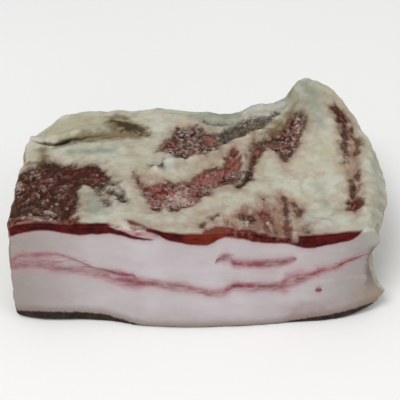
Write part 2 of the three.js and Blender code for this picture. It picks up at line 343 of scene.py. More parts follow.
# Layers of lean on the cut face, which run back through the slab: (x, height, half thickness) along each
LEFT_BAND = [
    (-97, 54.8, 4), (-91, 56.6, 4), (-84, 60.5, 4), (-73, 62.3, 4), (-66, 61.2, 4), (-57, 59.1, 3.5),
    (-50, 59.3, 3.5), (-45, 59.6, 3), (-40, 58.7, 1.5), (-35, 58.2, 1.3), (-29, 56.8, 0.9),
    (-23, 56.4, 0.4), (-17, 56.2, 0.1),
]
RIGHT_BAND = [
    (-30, 62.3, 0.1), (-24, 61.6, 1.1), (-18, 60.6, 2.2), (-13, 59.5, 3.5), (-6, 57.7, 3.4), (1, 56.7, 3.4),
    (7, 58.3, 4), (10, 60.4, 4), (13, 61.4, 4), (20, 60.8, 4), (27, 58.7, 4), (35, 56.9, 4), (42, 56.2, 4),
    (48, 53.8, 4), (54, 52.3, 4), (59, 52.7, 4), (64, 53.8, 4), (74, 55, 4), (79, 56.5, 3), (84, 58.2, 0.8),
    (89, 59.3, 0.1),
]
STREAKS = {
    "upper": [
        (-97, 35.3, 1.2), (-92, 38.3, 1.3), (-86, 42.3, 1.1), (-79, 43.6, 1), (-71, 44.4, 0.8),
        (-61, 40.6, 0.6), (-54, 36.6, 0.6), (-46, 34, 0.7), (-38, 33, 1.1), (-33, 33.4, 1.1),
        (-27, 31, 0.1),
    ],
    "long": [
        (-97, 33, 1.4), (-92, 34.6, 1.6), (-86, 37, 1.6), (-81, 37.8, 1.6), (-77, 36.8, 1.8),
        (-71, 36.1, 1.9), (-66, 35, 1.6), (-57, 33.6, 1.7), (-49, 31.4, 1.8), (-39, 29.3, 2.3),
        (-34, 29.1, 2.4), (-22, 29.1, 1.4), (-14, 28.2, 1.6), (-8, 27.8, 1.5), (-4, 26.4, 1.5),
        (1, 25, 1.4), (7, 23.2, 1.4), (12, 23.3, 1.6), (15, 25.6, 1.8), (20, 28, 1.9), (27, 26.7, 1.7),
        (34, 26.3, 1.7), (40, 25.5, 1.7), (44, 27.4, 3.2), (49, 29.5, 3), (56, 31.5, 1.6), (61, 33.7, 1.4),
        (67, 35.1, 1.2), (72, 37, 1), (78, 39, 0.6), (83, 39.2, 0.35), (89, 39, 0.3), (98, 37, 0.5),
    ],
    "short": [
        (7, 41.3, 0.1), (9, 43.3, 0.6), (11, 45, 1.1), (14, 45.3, 1.6), (16, 44, 1.5), (19, 41.7, 1.5),
        (26, 41.1, 1.7), (32, 40.3, 1.7), (38, 40.3, 1.6), (46, 41.6, 1.4), (50, 42.6, 0.02),
    ],
    "dot": [(58.4, 21.9, 0.1), (59.6, 21.9, 1.2), (61.2, 21.9, 1.2), (62.4, 21.9, 0.1)],
}
# Rind along the slab: (x, thickness)
RIND_THICKNESS = [
    (-98, 3.6), (-88, 4.8), (-78, 5.8), (-60, 5.8), (-42, 3.8), (-32, 2), (-24, 0.8), (36, 0.8), (48, 2.2),
    (62, 3.8), (76, 4.7), (98, 5),
]
# Places on the cut face where its colour changes, each eased in from its first value to its second
FOOT_X, FOOT_Z = (68, 92), (30, 10)
# Where the painted shade down the right edge lies
EDGE_SHADE_X, EDGE_SHADE_LOW_Z, EDGE_SHADE_HIGH_Z = (83, 86), (12, 28), (47, 41)
LIP_X, LIP_Z = (78, 87), (42, 47)
FLUSH_LEFT_X, FLUSH_RIGHT_X, FLUSH_Z = (38, 52), (76, 62), (18, 10)
FAINT_X = (-38, -52)
BETWEEN_X = (-28, -40)
WEDGE_LEFT_X, WEDGE_RIGHT_X, WEDGE_Z = (-47, -41), (-14, -22), (55.5, 58.5)
GAP_X, GAP_HALF, GAP_Z = 46.8, (2.6, 0.8), (51, 54.5)
WARM_LEFT_X, WARM_RIGHT_X = (-10, 0), (24, 10)
FLECK_LEFT_X, FLECK_RIGHT_X = (8, 18), (54, 44)
# Threads beside a streak: how far above it each lies, and how much it sways
THREADS = ((1.5, 9), (-1.3, -7))
# How far behind the cut face its layers have strayed in full
BACK_REACH = 20
# Sizes of the fine, small, medium and broad noise that finishes share, and how rough all noise is
NOISE_SIZES = (0.7, 1.9, 5, 22)
NOISE_ROUGHNESS = 0.55
# Grains of salt in the lean's colour: size, shift of the pattern and strength
SALT_SPOTS = ((1.6, 5, 0.45), (2.9, 15, 0.6))
# Tops of the scales that curves along the slab are drawn on, and how far those go on past its ends
HEIGHT_SCALE = 80
HALF_SCALE = 5
RIND_SCALE = 6
CURVE_MARGIN = 5


def srgb(red, green, blue):
    """A colour as the shader takes it, from its values on a screen."""
    share = np.array((red, green, blue)) / 255
    linear = np.where(share < 0.04045, share / 12.92, ((share + 0.055) / 1.055) ** 2.4)
    return (*linear, 1.0)


def rise(values, low, high):
    """Values eased from 0 at low to 1 at high."""
    share = np.clip((values - low) / (high - low), 0, 1)
    return share * share * (3 - 2 * share)


def inside(plan, strokes):
    """How far each place in plan lies inside the nearest stroke, below zero outside them all."""
    most = np.full(len(plan), -99.0)
    for stroke in strokes:
        for (ax, ay, a_half), (bx, by, b_half) in zip(stroke, stroke[1:]):
            start, way = np.array((ax, ay)), np.array((bx - ax, by - ay))
            share = np.clip((plan - start) @ way / (way @ way), 0, 1)
            off = np.linalg.norm(plan - start - share[:, None] * way, axis=1)
            most = np.maximum(most, a_half + share * (b_half - a_half) - off)
    return most


def within(plan, outline):
    """How far each place in plan lies inside a closed outline, below zero outside it."""
    x, y = plan.T
    off = np.full(len(plan), 99.0)
    inner = np.zeros(len(plan), bool)
    for (ax, ay), (bx, by) in zip(outline, outline[1:] + outline[:1]):
        start, way = np.array((ax, ay)), np.array((bx - ax, by - ay))
        share = np.clip((plan - start) @ way / (way @ way), 0, 1)
        off = np.minimum(off, np.linalg.norm(plan - start - share[:, None] * way, axis=1))
        crosses = (ay > y) != (by > y)
        inner ^= crosses & (x < ax + (y - ay) / ((by - ay) or 1) * (bx - ax))
    return np.where(inner, off, -off)


def lumps(places, size, seed, octaves=3):
    """Fractal noise, about -1 to 1, with lumps of a size, at each place."""
    offset = Vector((seed, 2.7 * seed, -1.3 * seed))
    return np.array([noise.fractal(Vector(p) / size + offset, 1.0, 2.0, octaves) for p in places])


def only(piece):
    """Makes a piece the one that is selected and active."""
    bpy.ops.object.select_all(action="DESELECT")
    piece.select_set(True)
    bpy.context.view_layer.objects.active = piece


def modify(piece, kind, **settings):
    """Adds a modifier with its settings and applies it."""
    only(piece)
    made = piece.modifiers.new(kind.lower(), kind)
    for name, value in settings.items():
        setattr(made, name, value)
    bpy.ops.object.modifier_apply(modifier=made.name)


def wear(piece, rounds, group=""):
    """Smooths a piece by some rounds, all over or where a group is painted."""
    modify(piece, "SMOOTH", factor=0.5, iterations=rounds, vertex_group=group)


def link(name, data):
    """A new object in the scene that shows a mesh, a lamp or a camera."""
    made = bpy.data.objects.new(name, data)
    bpy.context.scene.collection.objects.link(made)
    return made


def paint(piece, name, weights):
    """Paints a vertex group, from 0 to 1 at each vertex, and gives its name."""
    group = piece.vertex_groups.new(name=name)
    levels = np.round(np.clip(weights, 0, 1) * 100).astype(int)
    for level in np.unique(levels[levels > 0]):
        group.add(np.flatnonzero(levels == level).tolist(), level / 100, "REPLACE")
    return group.name


def push(piece, group, amount, direction="NORMAL", grain=None):
    """Displaces a painted group by an amount, evenly or by cloudy noise of a grain size."""
    settings = {"vertex_group": group, "strength": amount * MM, "mid_level": 0.0, "direction": direction}
    if grain:
        texture = bpy.data.textures.new(f"{group}_{grain}", "CLOUDS")
        texture.noise_scale = grain * MM
        texture.noise_depth = 2
        settings |= {"texture": texture, "texture_coords": "LOCAL", "mid_level": 0.5}
    modify(piece, "DISPLACE", **settings)


def push_lumps(piece, group, heights):
    """Displaces a painted group by lumps of several sizes, each with its height."""
    for size, height in heights.items():
        push(piece, group, height, grain=size)


def places_of(piece):
    """Where the vertices are, in millimetres, and their normals."""
    count = len(piece.data.vertices)
    places, normals = np.zeros(count * 3), np.zeros(count * 3)
    piece.data.vertices.foreach_get("co", places)
    piece.data.vertices.foreach_get("normal", normals)
    return places.reshape(-1, 3) / MM, normals.reshape(-1, 3)


def lowest_by(along, values, step=4, margin=8):
    """The lowest value near each place along a line, as a curve that is level within a margin of its ends."""
    bins = np.arange(along.min() + margin, along.max() - margin, step)
    index = np.digitize(along, bins)
    lows = [values[index == k].min() for k in range(1, len(bins))]
    return np.interp(along, bins[:-1] + step / 2, lows)


def off_sides(places):
    """How far each place lies behind the cut face and above the rind."""
    x, y, z = places.T
    return y - lowest_by(x, y), z - lowest_by(x, z)


def store(piece, name, values):
    """Keeps a number at each vertex for the finish to read."""
    attribute = piece.data.attributes.new(name, "FLOAT", "POINT")
    attribute.data.foreach_set("value", values.astype(np.float32))


def slab_copy():
    """The slab's solid as one even, smooth mesh, and the places where its solid has grains of salt."""
    slab = link("slab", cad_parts[NODE].data.copy())
    slab.data.materials.clear()
    only(slab)
    bpy.ops.object.mode_set(mode="EDIT")
    bpy.ops.mesh.select_all(action="SELECT")
    bpy.ops.mesh.remove_doubles(threshold=MERGE * MM)
    bpy.ops.object.mode_set(mode="OBJECT")
    modify(slab, "REMESH", mode="VOXEL", voxel_size=VOXEL * MM, use_smooth_shade=True)
    rough, normals = places_of(slab)
    off_cut, off_rind = off_sides(rough)
    flat = np.maximum(rise(-normals[:, 1], 0.8, 0.95), rise(np.abs(normals[:, 2]), 0.85, 0.97))
    crisp = np.maximum(1 - rise(off_cut, 2, 6), 1 - rise(off_rind, 2, 5)) * (1 - flat)
    wear(slab, GRAIN_ROUNDS, paint(slab, "soft", 1 - 0.9 * crisp))
    smooth, normals = places_of(slab)
    proud = (rough - smooth)[:, 2] * (normals[:, 2] > 0.6)
    grains = []
    for index in np.argsort(-proud)[:np.count_nonzero(proud > GRAIN_PROUD)]:
        if all(np.linalg.norm(smooth[index] - smooth[k]) > GRAIN_APART for k in grains):
            grains.append(index)
    return slab, smooth[grains]


def lean_marks(plan):
    """How far each place in plan lies inside the lean, and its tone, lightness and share of salt there."""
    depths = [within(plan, outline) for *_, outline in LEAN_PATCHES.values()]
    depths += [inside(plan, strokes) for *_, strokes in LEAN_STROKES.values()]
    kinds = np.array([kind for *kind, _ in (LEAN_PATCHES | LEAN_STROKES).values()])
    kind_at = kinds[np.argmax(depths, axis=0)]
    for *kind, strokes in LEAN_ACCENTS.values():
        near = rise(inside(plan, strokes), -3, 3)[:, None]
        kind_at = kind_at * (1 - near) + np.array(kind) * near
    return np.max(depths, axis=0), *kind_at.T


def slab_marks(slab):
    """Where lean, stains, salt and the several sides lie: a number at each vertex for each of them."""
    places, normals = places_of(slab)
    plan = places[:, :2]
    off_cut, off_rind = off_sides(places)
    ragged = RAGGED * lumps(places, RAGGED_SIZE, 3, 2)
    lean, tone, light, share = lean_marks(plan)
    off_seams = -1.4 * inside(plan, SEAMS) - 0.5
    depth_of = {
        "lean": np.minimum(lean, off_seams) + ragged,
        "grey": np.maximum(inside(plan, GREY_STROKES), within(plan, GREY_PATCH)) + ragged,
        "red_edge": inside(plan, RED_EDGE) + 0.5 * ragged,
        "stain": inside(plan, STAIN) + ragged,
        "amber": inside(plan, AMBER_STAIN_AND_FLAP_SHADE) + ragged,
        "blush": inside(plan, BLUSH) + 2 * ragged,
        "yellow": inside(plan, YELLOW_FAT) + 2 * ragged,
        "film": inside(plan, SALT_FILM) + 2 * ragged,
        "white": inside(plan, WHITE_FILM) + 2 * ragged,
        "crevice": inside(plan, CREVICE),
        "flap": inside(plan, FLAP),
        "ridge": inside(plan, RIDGES) + 0.3 * ragged,
        "wash": np.minimum(np.max([within(plan, outline) for outline in WASHES], axis=0), off_seams) + ragged,
    }
    return {
        "upper": rise(normals[:, 2], 0.35, 0.65) * rise(places[:, 2], *UPPER_Z),
        "cut": rise(-normals[:, 1], 0.5, 0.8) * rise(-places[:, 1], *CUT_FRONT),
        "tone": tone,
        "light": light,
        "share": share,
        "off_rind": off_rind,
        "off_cut": np.clip(off_cut, 0, BACK_REACH),
    } | {name: np.clip(depth, -12, 12) for name, depth in depth_of.items()}


def carve(slab, marks):
    """The slab's own relief: sunken fibrous lean, seams and the flap on top, and lumps on the cured sides."""
    upper, cut = marks["upper"], marks["cut"]
    cured = (1 - cut) * rise(marks["off_rind"], 1, 5) * rise(marks["off_cut"], 0, 4)
    lean = upper * np.maximum(rise(marks["lean"], -0.8, 1.4), rise(marks["grey"], -0.8, 1))
    push_lumps(slab, paint(slab, "fat", cured * (1 - 0.7 * lean)), FAT_LUMPS)
    crust = paint(slab, "crust", lean * cured)
    push_lumps(slab, crust, LEAN_LUMPS)
    push(slab, crust, -LEAN_SINK, "Z")
    for name, (start, full, height) in LOW_RELIEF.items():
        push(slab, paint(slab, name, upper * rise(marks[name], start, full)), height, "Z")
    push_lumps(slab, paint(slab, "cut", cut), CUT_LUMPS)
    places, _ = places_of(slab)
    for middle, reach, direction, amount in NUDGES:
        near = rise(np.linalg.norm(places - np.array(middle), axis=1), reach, 0)
        push(slab, paint(slab, "nudge", near), amount, direction)
    slab.vertex_groups.clear()


def proudness(slab, rounds):
    """How far each vertex stands proud, in millimetres, of the slab worn smooth by some rounds."""
    places, normals = places_of(slab)
    worn = link("worn", slab.data.copy())
    wear(worn, rounds)
    level, _ = places_of(worn)
    bpy.data.objects.remove(worn)
    return ((places - level) * normals).sum(1)


class Wire:
    """A shader socket that takes part in Python expressions, each of which adds its node."""

    def __init__(self, tree, socket=None):
        self.tree = tree
        self.socket = socket

    def node(self, kind, settings=None, sockets=None, out=0):
        """An output of a new node, with its settings made first and its sockets then set or linked."""
        made = self.tree.nodes.new(kind)
        for name, value in (settings or {}).items():
            if name == "points":
                curve = made.mapping.curves[0]
                curve.points[0].location, curve.points[1].location = value[0], value[-1]
                for place in value[1:-1]:
                    curve.points.new(*place)
                for point in curve.points:
                    point.handle_type = "AUTO_CLAMPED"
                made.mapping.update()
            else:
                setattr(made, name, value)
        for name, value in (sockets or {}).items():
            if isinstance(value, Wire):
                self.tree.links.new(value.socket, made.inputs[name])
            else:
                made.inputs[name].default_value = value
        return Wire(self.tree, made.outputs[out])

    def also(self, out):
        """Another output of the same node."""
        return Wire(self.tree, self.socket.node.outputs[out])

    def math(self, operation, *values):
        """A Math node on wires and numbers."""
        return self.node("ShaderNodeMath", {"operation": operation}, dict(enumerate(values)))

    def __add__(self, other):
        return self.math("ADD", self, other)

    __radd__ = __add__

    def __sub__(self, other):
        return self.math("SUBTRACT", self, other)

    def __rsub__(self, other):
        return self.math("SUBTRACT", other, self)

    def __mul__(self, other):
        return self.math("MULTIPLY", self, other)

    __rmul__ = __mul__

    def __truediv__(self, other):
        return self.math("DIVIDE", self, other)

    def __abs__(self):
        return self.math("ABSOLUTE", self)

    def __or__(self, other):
        return self.math("MAXIMUM", self, other)

    def rise(self, low, high):
        """Eased from 0 at low to 1 at high."""
        ends = {"Value": self, "From Min": low, "From Max": high}
        return self.node("ShaderNodeMapRange", {"interpolation_type": "SMOOTHSTEP"}, ends)

    def blend(self, low, high):
        """The colour low where this is 0, and high where it is 1."""
        return self.node("ShaderNodeMix", {"data_type": "RGBA"}, {0: self, 6: low, 7: high}, 2)


class Ground:
    """What a finish starts from: places on the piece in millimetres, noise on them and stored numbers."""

    def __init__(self, tree):
        self.start = Wire(tree)
        metres = self.start.node("ShaderNodeTexCoord", out="Object")
        scaled = {"operation": "SCALE"}
        self.place = self.start.node("ShaderNodeVectorMath", scaled, {0: metres, "Scale": 1 / MM})
        self.x = self.start.node("ShaderNodeSeparateXYZ", None, {0: self.place})
        self.z = self.x.also(2)
        self.fine, self.small, self.medium, self.broad = (self.noise(size, 3) for size in NOISE_SIZES)

    def noise(self, size, detail=2.0, stretch=(1, 1, 1), shift=0.0):
        """Noise from 0 to 1 with lumps of a size, drawn out by a stretch."""
        mapping = {"Vector": self.place, "Scale": [1 / (size * k) for k in stretch], "Location": [shift] * 3}
        spot = self.start.node("ShaderNodeMapping", None, mapping)
        sockets = {"Vector": spot, "Scale": 1.0, "Detail": detail, "Roughness": NOISE_ROUGHNESS}
        return self.start.node("ShaderNodeTexNoise", None, sockets)

    def grains(self, size, shift):
        """How far inside a rounded grain each place is, from 0 to 1, and two numbers of that grain's own."""
        bend = self.noise(2.2, 2, shift=shift).also("Color")
        bent = {0: bend, 1: (1.4, 1.4, 1.4), 2: self.place}
        spot = self.start.node("ShaderNodeVectorMath", {"operation": "MULTIPLY_ADD"}, bent)
        cell = self.start.node("ShaderNodeTexVoronoi", None, {"Vector": spot, "Scale": 1 / size})
        own = self.start.node("ShaderNodeSeparateColor", None, {0: cell.also("Color")})
        return cell.rise(0.55, 0.2), own, own.also(1)

    def mark(self, name):
        """A number that the mesh stores."""
        return self.start.node("ShaderNodeAttribute", {"attribute_name": name}, None, "Fac")

    def along(self, points, most):
        """A value up to the most that follows points (x, value) along the slab and is level beyond them."""
        span = MOST[0] - LEAST[0] + 2 * CURVE_MARGIN
        places = [((x + span / 2) / span, value / most) for x, value in points]
        places = [(0, places[0][1]), *places, (1, places[-1][1])]
        share = (self.x + span / 2) / span
        curve = self.start.node("ShaderNodeFloatCurve", {"points": places}, {"Value": share})
        return curve * most


def new_finish(name):
    """A material with its Principled shader and node tree."""
    material = bpy.data.materials.new(name)
    material.use_nodes = True
    shader = material.node_tree.nodes["Principled BSDF"]
    return material, shader, material.node_tree


def connect(shader, varying, even):
    """Links what varies over a surface to a shader's sockets, and sets those that are even."""
    for name, wire in varying.items():
        wire.tree.links.new(wire.socket, shader.inputs[name])
    for name, value in even.items():
        shader.inputs[name].default_value = value


def middle_and_half(ground, line):
    """The height of a layer's middle and its half thickness, along the slab."""
    middle = ground.along([(x, z) for x, z, _ in line], HEIGHT_SCALE)
    half = ground.along([(x, half) for x, _, half in line], HALF_SCALE)
    return middle, half


def band_masks(ground, line, height):
    """Where a thick layer of lean is, and the blush under it, each from 0 to 1."""
    middle, half = middle_and_half(ground, line)
    depth = half - abs(height - middle)
    present = half.rise(0.1, 0.4)
    return depth.rise(-0.8, 0.7) * present, depth.rise(-4, 0) * present


def streak_masks(ground, line, height, shift):
    """A thin streak's feathered core with threads that stray from it, and the blush round them."""
    middle, half = middle_and_half(ground, line)
    present = half.rise(0.1, 0.5)
    wander = ground.noise(7, 3, (2.2, 1.0, 1.0), shift) - 0.5
    uneven = ground.noise(5, 2, (2.4, 1.0, 1.0), shift + 5)
    strength = ground.noise(6, 3, (1.8, 1.0, 1.0), shift + 9).rise(0.3, 0.62)
    off = height - middle + wander * 2.2
    near = 1 - abs(off) / (half * (0.4 + uneven * 1.1) | 0.05)
    breaks = ground.noise(2.4, 3, (2.6, 1.0, 1.0), shift + 13).rise(0.3, 0.6)
    core = near.rise(-1.7, 1) * (0.22 + 0.3 * strength + 0.45 * breaks)
    for side, sway in THREADS:
        thread = 1 - abs(off - side + wander * sway) / (half * 0.55 | 0.05)
        core = core | thread.rise(-1.6, 1) * (0.1 + strength * 0.35) * breaks
    return core * present, near.rise(-4, 0.3) * present


def right_end(ground, under):
    """The cut face's right end: a pale lip from above, a ragged dark line of painted shade under it where the
    face turns away, and a warm foot.
    """
    x = ground.x + (ground.medium - 0.5) * 4
    foot = x.rise(*FOOT_X) * ground.z.rise(*FOOT_Z)
    colour = (foot * 0.8).blend(under, srgb(146, 130, 110))
    # Painted shade: a ragged dark line down the right edge where the face turns away
    edge_shade = (x + (ground.small - 0.5) * 2).rise(*EDGE_SHADE_X)
    edge_shade = edge_shade * ground.z.rise(*EDGE_SHADE_LOW_Z) * ground.z.rise(*EDGE_SHADE_HIGH_Z)
    colour = (edge_shade * 0.7).blend(colour, srgb(90, 82, 70))
    lip = (x + (ground.small - 0.5) * 4).rise(*LIP_X) * ground.z.rise(*LIP_Z)
    return (lip * 0.9).blend(colour, srgb(158, 159, 150))


def cut_fat_colour(ground):
    """Fat on the cut face: pale pink and marbled, with painted shade towards its ends and its foot."""
    colour = ground.broad.rise(0.3, 0.7).blend(srgb(181, 172, 174), srgb(189, 182, 185))
    # Painted shade: the face darkens towards both ends and towards its foot
    ends = (abs(ground.x) + ground.medium * 10).rise(44, 100)
    low = (ground.mark("off_rind") + ground.medium * 8).rise(22, 4) * 0.5
    colour = (ends | low).blend(colour, srgb(148, 139, 134))
    marble = ground.noise(5, 4, (2.5, 1.0, 1.0), 19)
    colour = (marble.rise(0.5, 0.72) * 0.2).blend(colour, srgb(172, 146, 150))
    colour = (marble.rise(0.48, 0.28) * 0.14).blend(colour, srgb(202, 198, 200))
    flush = ground.x.rise(*FLUSH_LEFT_X) * ground.x.rise(*FLUSH_RIGHT_X) * ground.z.rise(*FLUSH_Z)
    colour = (flush * (0.2 + ground.medium) * 0.8).blend(colour, srgb(146, 122, 122))
    return right_end(ground, colour)


def top_fat_colour(ground, tint, green, smudge):
    """Fat on the upper side: cream with green, yellow and brown in it, films of salt and a blush of lean."""
    colour = tint.rise(0.35, 0.65).blend(srgb(182, 178, 158), srgb(192, 191, 176))
    colour = (ground.broad.rise(0.45, 0.7) * 0.6).blend(colour, srgb(184, 172, 153))
    colour = green.blend(colour, srgb(184, 190, 176))
    colour = (ground.mark("yellow").rise(-5, 4) * 0.6).blend(colour, srgb(164, 158, 130))
    colour = smudge.blend(colour, srgb(160, 149, 126))
    film = ground.mark("film").rise(-6, 5) * (0.2 + ground.medium * 0.8 + ground.small * 0.5)
    colour = film.blend(colour, srgb(138, 141, 128))
    white = ground.mark("white").rise(-3, 2) * (0.5 + ground.small * 0.6)
    colour = white.blend(colour, srgb(184, 182, 177))
    blush = ground.mark("blush").rise(-4, 4) * (0.15 + ground.small * 0.8)
    return blush.blend(colour, srgb(158, 130, 116))


def fat_colour(ground, cut, upper):
    """Fat: pale pink where it is cut, cream on top and duller on the other cured sides, with painted shade in
    its hollows and painted highlight on its rises.
    """
    tint = ground.noise(13, 3, shift=31)
    green = ground.noise(10, 3, shift=43).rise(0.5, 0.66) * 0.6
    smudge = ground.noise(7, 4, shift=57).rise(0.5, 0.68) * 0.5
    colour = tint.rise(0.3, 0.7).blend(srgb(146, 134, 112), srgb(166, 158, 138))
    colour = (smudge * 1.2).blend(colour, srgb(124, 108, 84))
    colour = green.blend(colour, srgb(172, 168, 152))
    colour = upper.blend(colour, top_fat_colour(ground, tint, green, smudge))
    swell, proud = ground.mark("swell"), ground.mark("proud")
    # Painted shade in the hollows and painted highlight on the swells and lumps, by how far each place stands
    # proud
    colour = (swell.rise(0, -1.6) * 0.45).blend(colour, srgb(140, 126, 100))
    colour = (swell.rise(0.2, 1.6) * 0.4).blend(colour, srgb(204, 202, 189))
    colour = (proud.rise(0.05, -0.5) * 0.35).blend(colour, srgb(138, 124, 98))
    colour = (proud.rise(0.1, 0.6) * 0.3).blend(colour, srgb(208, 206, 193))
    return cut.blend(colour, cut_fat_colour(ground))


def layered_colour(ground, cut, upper, fat):
    """Fat with the thin streaks of lean and, on the cured sides, the upper layer of lean."""
    back = ground.mark("off_cut").rise(0, BACK_REACH)
    level = ground.z + (ground.broad - 0.5) * 14 * back + (ground.medium - 0.5) * 1.6
    height = level + (ground.small - 0.5) * 1.2
    masks = [streak_masks(ground, line, height, 3 + 40 * k) for k, line in enumerate(STREAKS.values())]
    core, halo = masks[0]
    for other_core, other_halo in masks[1:]:
        core, halo = core | other_core, halo | other_halo
    core = core * (1 - 0.3 * ground.x.rise(*FAINT_X))
    high, low = (middle_and_half(ground, STREAKS[name])[0] for name in ("upper", "long"))
    between = (high - height).rise(-1.5, 1) * (height - low).rise(-1.5, 1) * ground.x.rise(*BETWEEN_X)
    core = core | ground.noise(1.5, 3, (7.0, 1.0, 1.0), 97).rise(0.5, 0.66) * between * 0.55
    left, left_glow = band_masks(ground, LEFT_BAND, level)
    right, right_glow = band_masks(ground, RIGHT_BAND, level)
    band = left | right
    wedge = ground.x.rise(*WEDGE_LEFT_X) * ground.x.rise(*WEDGE_RIGHT_X) * ground.z.rise(*WEDGE_Z)
    core = core | ground.noise(1.8, 3, (6.0, 1.0, 1.0), 111).rise(0.45, 0.62) * wedge * 0.65
    halo = halo * 0.5 | between * ground.medium * 0.5 | (left_glow | right_glow) * 0.4
    halo = halo | wedge * (0.4 + ground.medium)
    hue = ground.noise(9, 2, (2.0, 1.0, 1.0), 63)
    red = hue.rise(0.4, 0.6).blend(srgb(108, 48, 52), srgb(130, 48, 62))
    colour = (halo * (1 - upper)).blend(fat, cut.blend(srgb(140, 118, 98), srgb(174, 138, 141)))
    colour = (core * (1 - upper)).blend(colour, cut.blend(srgb(112, 84, 66), red))
    old_red = ground.small.rise(0.35, 0.65).blend(srgb(70, 44, 34), srgb(100, 66, 52))
    colour = (band * (1 - upper) * (1 - cut) * (0.4 + ground.medium)).blend(colour, old_red)
    return colour, core, band


def edge_colour(ground, cut, band, under):
    """The red layer along the cut face's upper edge, and where it turns onto the upper side."""
    near_cut = ground.mark("off_cut").rise(4.5, 2)
    turned = ground.mark("red_edge") + (ground.medium - 0.5) * 4 + (ground.small - 0.5) * 2
    turned = turned.rise(-2, 1.5) * (1 - cut)
    juice = (ground.mark("red_edge") + (ground.medium - 0.5) * 5).rise(-5, 1) * (1 - cut) * 0.5
    under = juice.blend(under, srgb(170, 134, 126))
    gap = abs(ground.x - GAP_X).rise(*GAP_HALF) * ground.z.rise(*GAP_Z)
    edge = (band * near_cut | turned * 0.9) * (1 - gap * 0.75)
    red = ground.medium.rise(0.35, 0.65).blend(srgb(56, 9, 9), srgb(84, 20, 18))
    warm = ground.x.rise(*WARM_LEFT_X) * ground.x.rise(*WARM_RIGHT_X) * (0.3 + ground.medium * 0.7)
    red = warm.blend(red, srgb(118, 42, 24))
    strand = ground.noise(1.3, 3, (4.0, 1.0, 1.0), 83)
    red = (strand.rise(0.52, 0.66) * 0.5).blend(red, srgb(38, 8, 8))
    flecked = ground.x.rise(*FLECK_LEFT_X) * ground.x.rise(*FLECK_RIGHT_X) * (1 - cut * 0.6)
    fleck = ground.noise(2.4, 3, (1.0, 2.0, 2.0), 87).rise(0.5, 0.64) * flecked
    red = (fleck * 0.45).blend(red, srgb(140, 96, 80))
    return edge.blend(under, red), edge * cut


def flesh_colour(ground, strand):
    """Lean from brown to red by its tone, in strands, with olive where it is driest."""
    tone, proud = ground.mark("tone"), ground.mark("proud")
    deep = tone.blend(srgb(42, 29, 21), srgb(80, 33, 28))
    pale = tone.blend(srgb(106, 82, 70), srgb(154, 97, 87))
    mottle = strand * 0.35 + ground.small * 0.1 + ground.medium * 0.55 - 0.5
    # Mottled tone and each patch's own lightness, with painted highlight on lumps that stand proud and
    # painted shade in hollows
    lit = mottle * 5 + proud * 0.4 + ground.mark("light")
    flesh = lit.rise(0.05, 0.95).blend(deep, pale)
    fibre = ground.noise(1.5, 3, (0.8, 2.2, 1.0), 23)
    flesh = (fibre.rise(0.5, 0.62) * 0.5).blend(flesh, deep)
    olive = ground.noise(6, 3, shift=71).rise(0.46, 0.64) * (0.85 - tone * 0.6)
    return olive.blend(flesh, srgb(60, 50, 36))


def salted_colour(ground, share, under):
    """Salt grown into the lean, in pinkish grains of two sizes over the share that it has."""
    share = share * (0.3 + ground.noise(9, 2, shift=101).rise(0.3, 0.7) * 1.4)
    crust = ground.noise(2.2, 3, shift=91) + ground.mark("proud") * 0.12 + share * 0.1
    crusted = share.rise(0.3, 0.9).blend(srgb(142, 118, 110), srgb(182, 160, 152))
    colour = (crust.rise(0.54, 0.66) * share.rise(0, 0.4) * 0.8).blend(under, crusted)
    for size, shift, most in SALT_SPOTS:
        grain, own, other = ground.grains(size, shift)
        shown = grain * (share - own).rise(-0.05, 0.15) * most * (0.4 + ground.small)
        salted = other.rise(0.2, 0.9).blend(srgb(124, 100, 92), srgb(190, 176, 170))
        colour = shown.blend(colour, salted)
    return colour


def stained_and_shaded_colour(ground, upper, under):
    """Amber and brown stains on the upper side, with painted shade under the flap's lip and in the crevice,
    over the colour under them.
    """
    small, medium = ground.small, ground.medium
    # Amber stains, with painted shade along the flap's lip
    amber = (ground.mark("amber") + (medium - 0.5) * 9).rise(-4, 3) * upper * 0.8
    colour = amber.blend(under, srgb(102, 87, 57))
    stain = ground.mark("stain") + (medium - 0.5) * 7 + (small - 0.5) * 5
    colour = (stain.rise(-4, 2) * upper * 0.65).blend(colour, srgb(120, 100, 68))
    colour = (stain.rise(-1, 3.5) * upper * 0.9).blend(colour, srgb(56, 40, 23))
    # Painted shade: the crevice under the flap is painted dark
    crevice = ground.mark("crevice") + (small - 0.5) * 0.8
    colour = (crevice.rise(-0.7, 0.4) * upper * 0.9).blend(colour, srgb(56, 48, 36))
    return (crevice.rise(0.2, 0.9) * upper).blend(colour, srgb(34, 28, 20))


